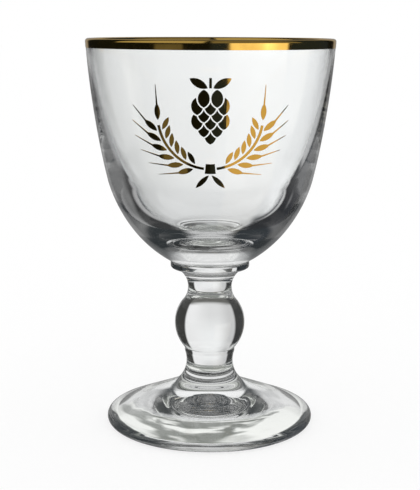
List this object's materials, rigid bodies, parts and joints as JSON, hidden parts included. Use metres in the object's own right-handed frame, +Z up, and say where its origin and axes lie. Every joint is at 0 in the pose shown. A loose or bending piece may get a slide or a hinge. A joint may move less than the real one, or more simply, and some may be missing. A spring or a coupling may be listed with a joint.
{
  "type": "beer tasting glass",
  "caption": "Stemmed beer tasting glass with a deep thick-bottomed bowl, collar, ball-knop stem and flared foot, gilded lip and gold barley and hop print.",
  "frame": {"origin": "on the glass's axis, in the plane that its foot stands on", "axes": "+Z up along the glass's axis, -Y out of the printed front, +X to the right of the print as a viewer in front sees it"},
  "size_m": [0.0802, 0.0802, 0.1272],
  "materials": {
    "bowl_glass": "clear fire-polished soda-lime glass",
    "collar_glass": "clear fire-polished soda-lime glass",
    "stem_glass": "clear pressed soda-lime glass, fire-polished",
    "foot_glass": "clear pressed soda-lime glass with faint chill waves",
    "rim_gold": "burnished bright gold, mirror smooth, brushed on by hand and fired",
    "print_gold": "screen-printed bright gold, mirror smooth, fired"
  },
  "bodies": {
    "root": {"foot": "foot_glass", "stem": "stem_glass", "collar": "collar_glass", "bowl": "bowl_glass", "rim_gilding": "rim_gold", "barley_left": "print_gold", "barley_right": "print_gold", "hop_cone": "print_gold", "wreath_tie": "print_gold"}
  },
  "joints": []
}
